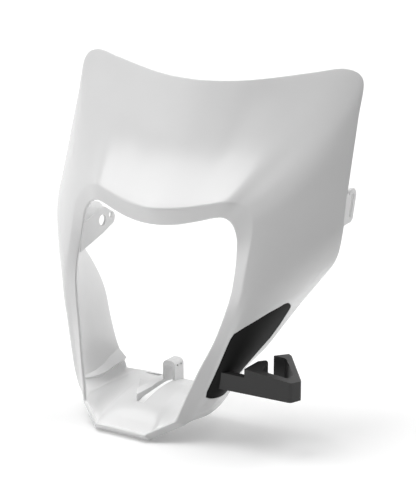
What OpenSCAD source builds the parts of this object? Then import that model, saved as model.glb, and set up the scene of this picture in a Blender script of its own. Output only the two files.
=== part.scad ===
// Headlight mask for an off-road motorcycle: one moulded shell around a
// headlight opening, with a hose guide set into its side.
// Millimetres, +Z up, the mask faces -Y, the plane X = 0 is its middle.
// The shapes are written from the middle of the chin's front lower edge, and the
// finished part is moved so that the origin is the middle of the tab holes' axis.

/* [Mask size] */
// width across the widest part of the two sides, mm
body_width = 251.6; // [236:0.1:266]
// height from the chin to the top corners, mm
body_height = 258.2; // [244:0.1:272]
// depth from the chin's front edge to the top corners, mm
body_depth = 129.8; // [122:0.1:138]
// wall thickness of the moulding, mm
wall = 2.5; // [2.2:0.1:3]

/* [Surface fineness] */
// ring steps between two driving stations
ring_sub = 2; // [1:1:3]
// steps across the side and brow surface
side_steps = 8; // [6:1:10]

/* [Inner side tabs] */
// diameter of the large hole, mm
tab_hole_d = 8.8; // [6:0.1:9.6]
// diameter of the small hole, mm
tab_small_hole_d = 4.8; // [3:0.1:5.4]
// thickness of the tab, mm
tab_thick = 2; // [1.6:0.1:3.2]
// thickness of the web between the tab and the side wall, mm
web_thick = 1.8; // [1.4:0.1:2.6]

/* [Strap ears] */
// thickness of the ear, mm
ear_thick = 2.5; // [2:0.1:3.5]
// width of the ear's slot, mm
ear_slot_w = 4; // [3:0.1:5]
// end to end length of the ear's slot, mm
ear_slot_len = 18.5; // [14:0.5:20]

/* [Floor and tongue slot] */
// width of the slot through the floor, mm
slot_w = 7; // [5:0.1:8.5]
// width of the arch over the slot's rear end, mm
arch_w = 11; // [10:0.1:14]
// thickness of the arch, mm
arch_thick = 2.2; // [1.8:0.1:3]
// length of the arch along the slot, mm
arch_len = 12; // [8:0.5:14]
// diameter of the two small holes through the arch, mm
arch_hole_d = 1.8; // [1.2:0.1:2.2]

/* [Inner lip of the side wall] */
// how far the lip stands out of the inner wall at its rear end, mm
lip_height = 4.2; // [2:0.1:5.5]

/* [Hose guide] */
// depth of the recess that takes the guide's plate, mm
recess_depth = 3; // [2.4:0.1:3.4]
// gap all round the plate in its recess, mm
recess_gap = 0.25; // [0.15:0.05:0.5]
// thickness of the arm, mm
arm_thick = 6; // [4.5:0.1:7]
// how far the arm's end stands out past its root, mm
arm_reach = 58; // [52:0.5:66]
// height of the arm at its end, mm
arm_end_h = 14; // [11:0.5:16]

/* [Guide screws] */
// thread diameter of the screws, mm
screw_d = 3.5; // [3:0.1:4]
// diameter of the screw heads, mm
screw_head_d = 7; // [6:0.1:8]

/* [Hidden] */
white = [0.93, 0.93, 0.93];
black = [0.1, 0.1, 0.1];
steel = [0.6, 0.62, 0.64];
kx = body_width / 251.6;
ky = body_depth / 129.8;
kz = body_height / 258.2;

// Driving stations from the top centre round the left of the machine down
// to the chin: opening edge, crease, two points on the surface, outer edge.
stations = [
  [[0, 39.5, 148.3], [0, 36.5, 161], [0, 60, 179], [0, 83.5, 204.5], [0, 106, 245]],
  [[12.5, 40.2, 149], [14, 39, 161.6], [18, 62, 180], [22.5, 85.5, 205.5], [27, 108.6, 246]],
  [[25, 42, 151], [28, 42.8, 163.4], [34, 65.5, 182], [41, 89.5, 208], [48, 112.8, 248.3]],
  [[38, 44.8, 154.4], [42, 47.2, 166.3], [49, 69.5, 185], [58, 93.5, 211.5], [67, 118, 251.3]],
  [[50, 47.5, 157.8], [55, 51.5, 169], [63.5, 73.5, 187.5], [74.5, 98.5, 215], [86, 122.8, 254.7]],
  [[57, 48.7, 158], [64, 55.5, 168], [76.5, 78, 188], [91.5, 103.5, 217], [109, 128.6, 258.2]],
  [[62.5, 48.8, 154.5], [71, 56.5, 164.5], [86.5, 78, 184], [104, 103.5, 211], [122.4, 129.8, 250.6]],
  [[66, 48.5, 147], [76, 54.5, 157], [92.5, 74, 173.5], [108.5, 97.5, 196], [123.4, 122, 225]],
  [[67, 47.6, 138.5], [77.2, 51, 146.5], [94.5, 68.5, 160], [110.5, 90, 176], [124.2, 112.3, 196.3]],
  [[67.4, 45.8, 128], [77.2, 47.2, 135.2], [95, 63, 146.5], [112, 83, 158], [125, 103.5, 169.6]],
  [[67.7, 42.7, 118], [76.8, 42.5, 120.9], [95, 57, 129.5], [113, 76.5, 138], [125.8, 96.8, 146]],
  [[67.5, 39.5, 108], [76.2, 38.4, 106.3], [92, 51, 113], [109, 72.5, 120.5], [121.5, 95.8, 126.3]],
  [[65.8, 35.6, 96], [73.8, 36.4, 95], [88.5, 48, 99.5], [101.5, 71, 104.5], [108.5, 96.3, 108.5]],
  [[62.5, 31.6, 82], [69.7, 33.3, 80.5], [83, 44, 83.5], [90.5, 68.5, 87.3], [94, 96.4, 90]],
  [[58.7, 27.8, 69.5], [65.4, 30, 65.6], [77.5, 41.5, 68], [81.5, 66.5, 71.5], [82.8, 93.5, 73.7]],
  [[53.1, 21.6, 54.2], [59.7, 25.4, 47.3], [70.5, 37, 50], [72, 60.5, 53], [71.2, 84.9, 54.8]],
  [[48.7, 17.1, 41.1], [54.8, 21.5, 32.7], [63.5, 33, 34], [62, 55, 37], [58.5, 75.5, 38.5]],
  [[44.4, 12.9, 28.2], [50.2, 18, 22.4], [56.5, 30.5, 21.5], [54, 52.5, 22], [50, 74, 24.5]],
  [[41.9, 10, 19.5], [46.6, 15.5, 15.2], [49.4, 29, 13.6], [49.2, 48, 13.2], [46.8, 73.6, 19.6]],
  [[40.3, 8.4, 15.2], [44.8, 14.1, 11.7], [43.4, 29, 12.6], [41.6, 49, 14.6], [39.5, 73.6, 19]],
  [[37.2, 6.5, 13.4], [41.3, 11.8, 9.8], [36.5, 27, 11.2], [33.5, 48, 17], [30.5, 73.5, 19]],
  [[24, -1.4, 6.4], [27, 2.3, 2], [24, 18, 9.6], [20.5, 42, 18.6], [19, 73.5, 19]],
  [[20.3, -3.5, 4.5], [23.2, 0, 0], [19.5, 15.5, 10.4], [16.5, 41, 19.2], [15, 73.5, 19]],
  [[10, -3.5, 4.4], [11, 0, 0], [9.4, 15, 11.4], [8, 41, 19.6], [7.5, 73.5, 19]],
  [[0, -3.5, 4.4], [0, 0, 0], [0, 15, 11.6], [0, 41, 19.7], [0, 73.5, 19]]
];
last = len(stations) - 1;

// a nominal point moved to the chosen size
function at(p) = [p[0] * kx, p[1] * ky, p[2] * kz];
function flip(p) = [-p[0], p[1], p[2]];
function raw(i) = i < 0
  ? [for (p = stations[-i]) flip(at(p))]
  : i > last
    ? [for (p = stations[2 * last - i]) flip(at(p))]
    : [for (p = stations[i]) at(p)];
// smooth curve through the stations, s counts stations
function along(s) = let (
    i = min(max(floor(s), 0), last - 1),
    t = s - i,
    a = raw(i - 1),
    b = raw(i),
    c = raw(i + 1),
    d = raw(i + 2)
  ) 0.5 * (2 * b + (c - a) * t + (2 * a - 5 * b + 4 * c - d) * t * t
    + (3 * b - a - 3 * c + d) * t * t * t);
// point on the outer surface: t = 0 on the crease, t = 1 on the outer edge
function across(q, t) = -4.5 * (t - 1 / 3) * (t - 2 / 3) * (t - 1) * q[1]
  + 13.5 * t * (t - 2 / 3) * (t - 1) * q[2]
  - 13.5 * t * (t - 1 / 3) * (t - 1) * q[3]
  + 4.5 * t * (t - 1 / 3) * (t - 2 / 3) * q[4];
function skin(s, t) = across(along(s), t);
function unit(v) = v / max(norm(v), 0.000001);
// inward direction of the surface
function inward(s, t) = let (
    u = skin(min(s + 0.02, last), t) - skin(max(s - 0.02, 0), t),
    v = skin(s, min(t + 0.02, 1)) - skin(s, max(t - 0.02, 0))
  ) unit(cross(v, u));
function inward_band(s) = let (
    a = along(min(s + 0.02, last)),
    b = along(max(s - 0.02, 0)),
    m = along(s)
  ) unit(cross(m[1] - m[0], a[0] + a[1] - b[0] - b[1]));
// inner corner where the band meets the side, walls kept equal
function miter(n1, n2) = (n1 + n2) / max(1 + n1 * n2, 0.35);

// one closed section of the shell at station s
function section(s) = let (
    q = along(s),
    nb = inward_band(s),
    ns = inward(s, 0),
    ts = [for (k = [1 : side_steps]) k / side_steps]
  ) concat(
    [q[0], q[1]],
    [for (t = ts) across(q, t)],
    [for (k = [side_steps - 1 : -1 : 0]) across(q, ts[k]) + wall * inward(s, ts[k])],
    [q[1] + wall * miter(nb, ns), q[0] + wall * nb]
  );
half_ring = [for (k = [0 : last * ring_sub]) section(k / ring_sub)];
ring_half = len(half_ring);
ring = concat(
  half_ring,
  [for (k = [ring_half - 2 : -1 : 1]) [for (p = half_ring[k]) flip(p)]]
);
ring_n = len(ring);
loop_n = len(ring[0]);

module shell_loft() {
  polyhedron(
    points = [for (r = ring) each r],
    faces = [
      for (j = [0 : ring_n - 1], r = [0 : loop_n - 1])
        let (
          j2 = (j + 1) % ring_n,
          r2 = (r + 1) % loop_n,
          a = j * loop_n + r,
          b = j * loop_n + r2,
          c = j2 * loop_n + r2,
          d = j2 * loop_n + r
        )
        each [[a, b, c], [a, c, d]]
    ],
    convexity = 10
  );
}

// Outline of the recess on the side surface: station, front limit and rear
// limit as fractions across the surface, from the upper tip to the bottom.
recess_rows = [
  [12.42, 0.610, 0.635],
  [12.46, 0.582, 0.664],
  [12.54, 0.470, 0.698],
  [12.70, 0.340, 0.748],
  [12.87, 0.208, 0.791],
  [13.10, 0.089, 0.815],
  [13.37, 0.062, 0.829],
  [13.79, 0.052, 0.849],
  [14.12, 0.048, 0.857],
  [14.43, 0.047, 0.852],
  [14.81, 0.043, 0.757],
  [15.09, 0.040, 0.701],
  [15.36, 0.036, 0.657],
  [15.68, 0.034, 0.668],
  [15.97, 0.060, 0.727],
  [16.07, 0.150, 0.745],
  [16.18, 0.290, 0.752],
  [16.32, 0.410, 0.735],
  [16.43, 0.500, 0.680],
  [16.48, 0.560, 0.620]
];
rows_n = len(recess_rows);
row_mid = (recess_rows[0][0] + recess_rows[rows_n - 1][0]) / 2;
row_half = (recess_rows[rows_n - 1][0] - recess_rows[0][0]) / 2;
cols = 4;
// the outline grown by m millimetres
function row_s(k, m) = recess_rows[k][0] + m / 16 * (recess_rows[k][0] - row_mid) / row_half;
function row_t(k, m, c) = let (a = recess_rows[k][1] - m / 60, b = recess_rows[k][2] + m / 60)
  max(a, 0.012) + (b - max(a, 0.012)) * c / cols;

// slab that follows the side surface between two depths under it
module side_slab(m, d1, d2) {
  n = rows_n * (cols + 1);
  top = [
    for (k = [0 : rows_n - 1], c = [0 : cols])
      let (s = row_s(k, m), t = row_t(k, m, c))
      skin(s, t) + d1 * inward(s, t)
  ];
  low = [
    for (k = [0 : rows_n - 1], c = [0 : cols])
      let (s = row_s(k, m), t = row_t(k, m, c))
      skin(s, t) + d2 * inward(s, t)
  ];
  w = cols + 1;
  polyhedron(
    points = concat(top, low),
    faces = concat(
      [
        for (k = [0 : rows_n - 2], c = [0 : cols - 1])
          let (a = k * w + c, b = a + 1, e = b + w, d = a + w)
          each [[a, e, d], [a, b, e]]
      ],
      [
        for (k = [0 : rows_n - 2], c = [0 : cols - 1])
          let (a = n + k * w + c, b = a + 1, e = b + w, d = a + w)
          each [[a, d, e], [a, e, b]]
      ],
      [
        for (k = [0 : rows_n - 2])
          let (a = k * w, d = a + w)
          each [[a, d, n + d], [a, n + d, n + a]]
      ],
      [
        for (k = [0 : rows_n - 2])
          let (a = k * w + cols, d = a + w)
          each [[a, n + a, n + d], [a, n + d, d]]
      ],
      [
        for (c = [0 : cols - 1])
          let (a = c, b = c + 1)
          each [[a, n + b, b], [a, n + a, n + b]]
      ],
      [
        for (c = [0 : cols - 1])
          let (a = (rows_n - 1) * w + c, b = a + 1)
          each [[a, b, n + b], [a, n + b, n + a]]
      ]
    ),
    convexity = 6
  );
}

module both_sides() {
  children();
  mirror([1, 0, 0]) children();
}

// low rib beside the slot, on the machine's right only
rib_w = 7.6;
module slot_rib() {
  translate(at([0, 34, 22]) + [slot_w / 2 - 0.2, 0, -wall])
    linear_extrude(wall + 0.7)
      polygon([[0, -3], [rib_w, 2], [rib_w, 36 * ky], [0, 36 * ky]]);
}

// Shallow three-cornered hollow in the floor beside the rib. Its bottom is
// arched like the floor, so that the floor under it stays closed.
hollow_bottom = [
  [36, 19.3], [41, 20.4], [48.6, 21.5], [56.6, 21.9], [63.2, 21.6], [68.3, 21.1],
  [73.5, 20.2], [73.5, 28], [36, 28]
];
module floor_hollow() {
  translate([slot_w / 2 - 0.2 + rib_w, 0, 0])
    intersection() {
      linear_extrude(40 * kz)
        polygon([[0.1, 39 * ky], [0.1, 72 * ky], [18, 67 * ky]]);
      rotate([90, 0, 90])
        linear_extrude(40)
          polygon([for (p = hollow_bottom) [p[0] * ky, p[1] * kz]]);
    }
}

// arch over the slot's rear end, with two cross holes
arch_base = at([0, 62, 22]);
module arch() {
  r = 4;
  h = 16;
  difference() {
    translate(arch_base)
      rotate([90, 0, 0])
        mirror([0, 0, 1])
          linear_extrude(arch_len)
            difference() {
              union() {
                translate([-arch_w / 2, -1.5]) square([arch_w, h - r + 1.5]);
                translate([-arch_w / 2 + r, h - r - 0.1]) square([arch_w - 2 * r, r + 0.1]);
                translate([-arch_w / 2 + r, h - r]) circle(r, $fn = 32);
                translate([arch_w / 2 - r, h - r]) circle(r, $fn = 32);
              }
              translate([-arch_w / 2 + arch_thick, -3])
                square([arch_w - 2 * arch_thick, h - 4.2]);
            }
    for (f = [0.3, 0.7])
      translate(arch_base + [0, arch_len * f, 12.2])
        rotate([0, 90, 0])
          cylinder(d = arch_hole_d, h = arch_w + 4, center = true, $fn = 24);
  }
}

// side tab behind the upper corner of the opening
tab_x = 68.2 * kx;
tab_hole = at([0, 74.9, 135.4]);
tab_small_hole = at([0, 85.6, 137.5]);
function tab_p(y, z) = [y * ky, z * kz];
module side_tab() {
  outline = [
    tab_p(49.5, 137.5), tab_p(73.2, 145.6), tab_p(78, 145.4), tab_p(90, 138.6),
    tab_p(91.2, 135.5), tab_p(90, 131), tab_p(75, 125), tab_p(63, 121.3),
    tab_p(46, 116.4)
  ];
  difference() {
    translate([tab_x, 0, 0])
      rotate([90, 0, 90])
        linear_extrude(tab_thick) polygon(outline);
    translate(tab_hole + [tab_x - 2, 0, 0])
      rotate([0, 90, 0])
        cylinder(d = tab_hole_d, h = tab_thick + 4, $fn = 48);
    translate(tab_small_hole + [tab_x - 2, 0, 0])
      rotate([0, 90, 0])
        cylinder(d = tab_small_hole_d, h = tab_thick + 4, $fn = 32);
  }
}

// a bar of equal sections, each a list of points in the same order
module swept(sections) {
  n = len(sections);
  w = len(sections[0]);
  polyhedron(
    points = [for (q = sections) each q],
    faces = concat(
      [[for (k = [w - 1 : -1 : 0]) k]],
      [
        for (j = [0 : n - 2], k = [0 : w - 1])
          let (a = j * w + k, b = j * w + (k + 1) % w)
          each [[a, b + w, a + w], [a, b, b + w]]
      ],
      [[for (k = [0 : w - 1]) (n - 1) * w + k]]
    ),
    convexity = 4
  );
}

// Web from the tab's top edge to the side wall. Each row joins a point on the
// tab with a station and fraction on the side.
web_rows = [
  [[0, 51.5, 137.9], 8.97, 0.1],
  [[0, 62, 141.5], 9.05, 0.3],
  [[0, 73.2, 145.2], 9.3, 0.48],
  [[0, 78, 145.1], 9.6, 0.66],
  [[14, 91, 145.1], 9.85, 0.84]
];
module tab_web() {
  swept([
    for (w = web_rows)
      let (
        inner = at(w[0]) + [tab_x + 0.5, 0, 0],
        outer = skin(w[1], w[2]) + 0.5 * wall * inward(w[1], w[2]),
        down = [0, 0, web_thick]
      )
      [inner, inner - down, outer - down, outer]
  ]);
}

// Lip inside the side wall, below the recess: fraction across, station of its
// tip and height as a share of lip_height.
lip_rows = [
  [0.16, 16.82, 0.1], [0.3, 16.93, 0.24], [0.43, 17.05, 0.38], [0.55, 17.1, 0.54],
  [0.67, 17.06, 0.71], [0.8, 16.92, 0.86], [0.985, 16.83, 1]
];
module wall_lip() {
  swept([
    for (r = lip_rows)
      let (
        top = r[1] - 0.08 - 0.47 * r[2],
        low = r[1] + 0.14,
        root = wall - 0.8
      )
      [
        skin(top, r[0]) + root * inward(top, r[0]),
        skin(top, r[0]) + (wall + 0.1) * inward(top, r[0]),
        skin(r[1], r[0]) + (wall + lip_height * r[2]) * inward(r[1], r[0]),
        skin(low, r[0]) + root * inward(low, r[0])
      ]
  ]);
}

// slotted ear behind the outer edge
ear_x = 122.2 * kx;
module strap_ear() {
  r = ear_slot_w / 2;
  mid = [116.2 * ky, 162 * kz];
  lean = [0.29, 0.957];
  span = ear_slot_len / 2 - r;
  a = mid - lean * span;
  b = mid + lean * span;
  difference() {
    translate([ear_x - ear_thick, 0, 0])
      rotate([90, 0, 90])
        linear_extrude(ear_thick)
          difference() {
            union() {
              polygon([
                [92.3 * ky, 148 * kz], a + [5.2, -1.6], b + [5.2, -1.6],
                b + [-5.2, 1.6], [100 * ky, 171.5 * kz]
              ]);
              translate(a) circle(5.4, $fn = 40);
              translate(b) circle(5.4, $fn = 40);
            }
            translate(a) circle(r, $fn = 32);
            translate(b) circle(r, $fn = 32);
            polygon([
              a + [lean[1] * r, -lean[0] * r], b + [lean[1] * r, -lean[0] * r],
              b - [lean[1] * r, -lean[0] * r], a - [lean[1] * r, -lean[0] * r]
            ]);
          }
  }
}

// two screw places on the recess: station and fraction across
screw_at = [[13.55, 0.42], [15.35, 0.42]];
// lay +Z of the children along the outward direction at a surface point
module on_side(s, t) {
  p = skin(s, t);
  n = -inward(s, t);
  translate(p)
    rotate([0, acos(n[2]), atan2(n[1], n[0])])
      children();
}

// the finished part is moved so that the tab holes' axis is at the origin
module from_tab_holes() {
  translate(-tab_hole) children();
}

module mask_shell() {
  color(white)
    from_tab_holes() difference() {
      union() {
        shell_loft();
        both_sides() {
          side_slab(2.3, 0.9, recess_depth + wall - 0.3);
          side_tab();
          tab_web();
          wall_lip();
          strap_ear();
        }
        arch();
        mirror([1, 0, 0]) slot_rib();
      }
      mirror([1, 0, 0]) floor_hollow();
      both_sides() {
        side_slab(recess_gap, -2.5, recess_depth);
        for (p = screw_at)
          on_side(p[0], p[1])
            translate([0, 0, -recess_depth - wall - 4])
              cylinder(d = screw_d + 0.6, h = wall + 6, $fn = 32);
      }
      translate(at([0, 23.4, 14]) - [slot_w / 2, 0, 0])
        cube([slot_w, 60 * ky, 9.2 * kz + 1]);
    }
}

// rounded corner points: c corner, a before, b after, r radius
function fillet(a, c, b, r) = let (
    u = unit(a - c),
    v = unit(b - c),
    half = acos(max(min(u * v, 1), -1)) / 2,
    d = r / tan(half),
    p = c + u * d,
    q = c + v * d,
    o = c + unit(u + v) * r / sin(half),
    w0 = atan2(p[1] - o[1], p[0] - o[0]),
    w1 = atan2(q[1] - o[1], q[0] - o[0]),
    dw = w1 - w0 > 180 ? w1 - w0 - 360 : w1 - w0 < -180 ? w1 - w0 + 360 : w1 - w0
  ) [for (k = [0 : 6]) o + r * [cos(w0 + dw * k / 6), sin(w0 + dw * k / 6)]];
function rounded(pts) = let (n = len(pts)) [
  for (k = [0 : n - 1])
    let (
      a = pts[(k + n - 1) % n],
      c = pts[k],
      b = pts[(k + 1) % n],
      p = [c[0], c[1]]
    )
    each c[2] > 0
      ? fillet([a[0], a[1]], p, [b[0], b[1]], c[2])
      : [p]
];

// The guide's arm and clip seen from above, measured from the arm's root.
// where the arm stands on the side, and the fraction whose slope its foot takes
arm_at = [15.15, 0.131];
arm_foot_t = 0.2;
arm_root = skin(arm_at[0], arm_at[1]);
ex = arm_reach;
clip_plan = [
  [-7, 1.2, 0], [ex - 0.5, 1.2, 2.6], [ex + 3.2, 10, 2], [ex - 24.4, 46.6, 3.2],
  [ex - 30.2, 50, 2.4], [ex - 34.2, 45.6, 1.2], [ex - 34.6, 37.6, 0.8],
  [ex - 25, 39.2, 3.5], [ex - 5.2, 14.6, 2.5], [ex - 6.4, arm_thick + 1.2, 1.5],
  [31, arm_thick + 1.2, 1], [27.4, 23.2, 0.8], [24.2, 26.8, 1.2],
  [19.6, 19, 2], [18, arm_thick + 1.2, 1], [-7, arm_thick + 1.2, 0]
];
module guide_arm() {
  // side profile: low over the plate, stepped up past the edge of the mask
  profile = [
    [-12, -7], [ex + 2, -6.2], [ex + 6, -5.8], [ex + 6, arm_end_h - 6.4],
    [20.6, arm_end_h - 2.1], [20.6, 5.4], [-12, 5.9]
  ];
  n = -inward(arm_at[0], arm_foot_t);
  translate(arm_root)
    intersection() {
      translate([0, 0, -20]) linear_extrude(50) polygon(rounded(clip_plan));
      translate([0, 70, 0]) rotate([90, 0, 0]) linear_extrude(80) polygon(profile);
      rotate([0, acos(n[2]) - 90, atan2(n[1], n[0])])
        translate([-1.4, -80, -80])
          cube([160, 160, 160]);
    }
}

module hose_guide() {
  color(black)
    from_tab_holes() difference() {
      union() {
        side_slab(0, 0, recess_depth - 0.05);
        guide_arm();
      }
      for (p = screw_at)
        on_side(p[0], p[1])
          translate([0, 0, -recess_depth - 3])
            cylinder(d = screw_d + 0.1, h = 3 + recess_depth - 0.8, $fn = 32);
    }
}

module guide_screws() {
  color(steel)
    from_tab_holes() for (p = screw_at)
      on_side(p[0], p[1])
        translate([0, 0, -recess_depth - wall + 0.3])
          difference() {
            union() {
              translate([0, 0, -0.8])
                cylinder(d = screw_d, h = wall + recess_depth - 0.6, $fn = 32);
              translate([0, 0, -2.3]) cylinder(d = screw_head_d, h = 2.1, $fn = 32);
            }
            translate([0, 0, -2.8]) cylinder(d = 3.2, h = 1.7, $fn = 6);
          }
}

mask_shell();
hose_guide();
guide_screws();
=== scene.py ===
# %% [markdown]
# # A headlight mask for an off-road motorcycle
# The real object is one white injection moulding: a leaning plate, a brow over
# the headlight opening, two side walls and a slotted floor. A black hose guide
# sits in a recess in one side. The CAD model fixes every size and place. This
# lesson builds the same form again as a fine mesh with rounded edges, gives each
# piece its own plastic and stands it in a small studio.

import math

import bmesh
import bpy
import numpy as np
from mathutils import Matrix, Vector


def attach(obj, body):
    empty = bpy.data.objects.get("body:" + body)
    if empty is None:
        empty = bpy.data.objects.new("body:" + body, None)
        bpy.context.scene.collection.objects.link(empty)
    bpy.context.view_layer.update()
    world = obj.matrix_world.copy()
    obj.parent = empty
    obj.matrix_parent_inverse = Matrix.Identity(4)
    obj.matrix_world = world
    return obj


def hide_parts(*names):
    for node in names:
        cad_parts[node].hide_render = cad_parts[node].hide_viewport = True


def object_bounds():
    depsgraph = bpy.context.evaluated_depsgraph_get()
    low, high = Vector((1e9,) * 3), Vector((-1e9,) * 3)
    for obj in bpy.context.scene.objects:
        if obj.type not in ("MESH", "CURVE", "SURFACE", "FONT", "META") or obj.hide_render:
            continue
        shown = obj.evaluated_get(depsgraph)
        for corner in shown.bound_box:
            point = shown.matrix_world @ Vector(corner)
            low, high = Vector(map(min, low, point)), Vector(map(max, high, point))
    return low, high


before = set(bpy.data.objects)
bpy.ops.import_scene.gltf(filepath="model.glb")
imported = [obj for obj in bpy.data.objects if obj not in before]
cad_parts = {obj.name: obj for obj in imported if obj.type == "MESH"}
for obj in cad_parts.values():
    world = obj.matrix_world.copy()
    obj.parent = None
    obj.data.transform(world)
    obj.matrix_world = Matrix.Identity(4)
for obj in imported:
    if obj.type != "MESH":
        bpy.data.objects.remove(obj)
cad_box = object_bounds()
MM = 0.001
SIDES = ((1, "left"), (-1, "right"))
print("CAD box", cad_box)

# %% [markdown]
# ## The driving lines
# A moulding like this is drawn from a few lines that run along the whole part.
# Stations run from the top centre round one side to the chin. Each one holds
# five points in millimetres: opening edge, crease, two points on the surface and
# the outer edge. A subdivision cage could look the same, but a table of real
# points keeps the mesh on the CAD's form.

# %% The stations of the shell
STATIONS = np.array([
    [[0, 39.5, 148.3], [0, 36.5, 161], [0, 60, 179], [0, 83.5, 204.5], [0, 106, 245]],
    [[12.5, 40.2, 149], [14, 39, 161.6], [18, 62, 180], [22.5, 85.5, 205.5], [27, 108.6, 246]],
    [[25, 42, 151], [28, 42.8, 163.4], [34, 65.5, 182], [41, 89.5, 208], [48, 112.8, 248.3]],
    [[38, 44.8, 154.4], [42, 47.2, 166.3], [49, 69.5, 185], [58, 93.5, 211.5], [67, 118, 251.3]],
    [[50, 47.5, 157.8], [55, 51.5, 169], [63.5, 73.5, 187.5], [74.5, 98.5, 215], [86, 122.8, 254.7]],
    [[57, 48.7, 158], [64, 55.5, 168], [76.5, 78, 188], [91.5, 103.5, 217], [109, 128.6, 258.2]],
    [[62.5, 48.8, 154.5], [71, 56.5, 164.5], [86.5, 78, 184], [104, 103.5, 211], [122.4, 129.8, 250.6]],
    [[66, 48.5, 147], [76, 54.5, 157], [92.5, 74, 173.5], [108.5, 97.5, 196], [123.4, 122, 225]],
    [[67, 47.6, 138.5], [77.2, 51, 146.5], [94.5, 68.5, 160], [110.5, 90, 176], [124.2, 112.3, 196.3]],
    [[67.4, 45.8, 128], [77.2, 47.2, 135.2], [95, 63, 146.5], [112, 83, 158], [125, 103.5, 169.6]],
    [[67.7, 42.7, 118], [76.8, 42.5, 120.9], [95, 57, 129.5], [113, 76.5, 138], [125.8, 96.8, 146]],
    [[67.5, 39.5, 108], [76.2, 38.4, 106.3], [92, 51, 113], [109, 72.5, 120.5], [121.5, 95.8, 126.3]],
    [[65.8, 35.6, 96], [73.8, 36.4, 95], [88.5, 48, 99.5], [101.5, 71, 104.5], [108.5, 96.3, 108.5]],
    [[62.5, 31.6, 82], [69.7, 33.3, 80.5], [83, 44, 83.5], [90.5, 68.5, 87.3], [94, 96.4, 90]],
    [[58.7, 27.8, 69.5], [65.4, 30, 65.6], [77.5, 41.5, 68], [81.5, 66.5, 71.5], [82.8, 93.5, 73.7]],
    [[53.1, 21.6, 54.2], [59.7, 25.4, 47.3], [70.5, 37, 50], [72, 60.5, 53], [71.2, 84.9, 54.8]],
    [[48.7, 17.1, 41.1], [54.8, 21.5, 32.7], [63.5, 33, 34], [62, 55, 37], [58.5, 75.5, 38.5]],
    [[44.4, 12.9, 28.2], [50.2, 18, 22.4], [56.5, 30.5, 21.5], [54, 52.5, 22], [50, 74, 24.5]],
    [[41.9, 10, 19.5], [46.6, 15.5, 15.2], [49.4, 29, 13.6], [49.2, 48, 13.2], [46.8, 73.6, 19.6]],
    [[40.3, 8.4, 15.2], [44.8, 14.1, 11.7], [43.4, 29, 12.6], [41.6, 49, 14.6], [39.5, 73.6, 19]],
    [[37.2, 6.5, 13.4], [41.3, 11.8, 9.8], [36.5, 27, 11.2], [33.5, 48, 17], [30.5, 73.5, 19]],
    [[24, -1.4, 6.4], [27, 2.3, 2], [24, 18, 9.6], [20.5, 42, 18.6], [19, 73.5, 19]],
    [[20.3, -3.5, 4.5], [23.2, 0, 0], [19.5, 15.5, 10.4], [16.5, 41, 19.2], [15, 73.5, 19]],
    [[10, -3.5, 4.4], [11, 0, 0], [9.4, 15, 11.4], [8, 41, 19.6], [7.5, 73.5, 19]],
    [[0, -3.5, 4.4], [0, 0, 0], [0, 15, 11.6], [0, 41, 19.7], [0, 73.5, 19]],
]) * MM
LAST = len(STATIONS) - 1
WALL = 2.5 * MM
# The stations are measured from the chin's front edge. The frame's origin is the
# middle of the axis through the tabs' large holes, which lies at this y and z:
TAB_HOLE_AT = (74.9, 135.4)
HOLD = np.array([0, *TAB_HOLE_AT]) * MM
# The other half of the mask is this one with x turned round.
FLIP = np.array([-1, 1, 1])
print("stations", len(STATIONS), "brow's crease in mm", STATIONS[0, 1] / MM)

# %% [markdown]
# Between two stations the points follow a Catmull-Rom spline, which passes
# through every station. Across a station, one cubic passes through the crease,
# the two surface points and the outer edge. Together they give any point of the
# outer surface from two numbers: s, the station, and t, the fraction across.

# %% Points of the outer surface
def along(s):
    """Points of the section at the station numbers s: an array (..., 5, 3)."""
    s = np.asarray(s, float)
    mirrored = np.concatenate([STATIONS[1:2] * FLIP, STATIONS, STATIONS[-2:-1] * FLIP])
    i = np.clip(np.floor(s).astype(int), 0, LAST - 1)
    t = (s - i)[..., None, None]
    a, b, c, d = (mirrored[i + k] for k in range(4))
    return 0.5 * (2 * b + (c - a) * t + (2 * a - 5 * b + 4 * c - d) * t**2
                  + (3 * b - a - 3 * c + d) * t**3)


def across(q, t):
    """Cubic through the crease, the two surface points and the outer edge."""
    t = np.asarray(t, float)[..., None]
    k = 1 / 3
    return (-4.5 * (t - k) * (t - 2 * k) * (t - 1) * q[..., 1, :]
            + 13.5 * t * (t - 2 * k) * (t - 1) * q[..., 2, :]
            - 13.5 * t * (t - k) * (t - 1) * q[..., 3, :]
            + 4.5 * t * (t - k) * (t - 2 * k) * q[..., 4, :])


def skin(s, t):
    """The point of the outer surface at station s and fraction t."""
    s, t = np.broadcast_arrays(s, t)
    return across(along(s), t)


print("middle of the side wall in mm", skin(12.0, 0.5) / MM)

# %% [markdown]
# The wall has one thickness, so its inner surface is the outer one moved inward,
# square to it. That direction is the cross product of a short step along and a
# short step across. A long step evens it out where the surface kinks. The
# solidify modifier does this too, but it can't even out a kink.

# %% Directions into the wall
FINE_STEP = 0.02
LONG_STEP = 0.5


def unit(v):
    return v / np.maximum(np.linalg.norm(v, axis=-1, keepdims=True), 1e-12)


def inward(s, t, step=FINE_STEP):
    """Direction into the wall under the outer surface."""
    s, t = np.broadcast_arrays(np.asarray(s, float), np.asarray(t, float))
    u = skin(np.minimum(s + step, LAST), t) - skin(np.maximum(s - step, 0), t)
    v = skin(s, np.minimum(t + FINE_STEP, 1)) - skin(s, np.maximum(t - FINE_STEP, 0))
    return unit(np.cross(v, u))


def inward_band(s, step):
    """Direction into the wall under the band between opening edge and crease."""
    a, b, m = along(np.minimum(s + step, LAST)), along(np.maximum(s - step, 0)), along(s)
    return unit(np.cross(m[:, 1] - m[:, 0], a[:, 0] + a[:, 1] - b[:, 0] - b[:, 1]))


print("into the side wall", inward(12.0, 0.5).round(3))

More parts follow.
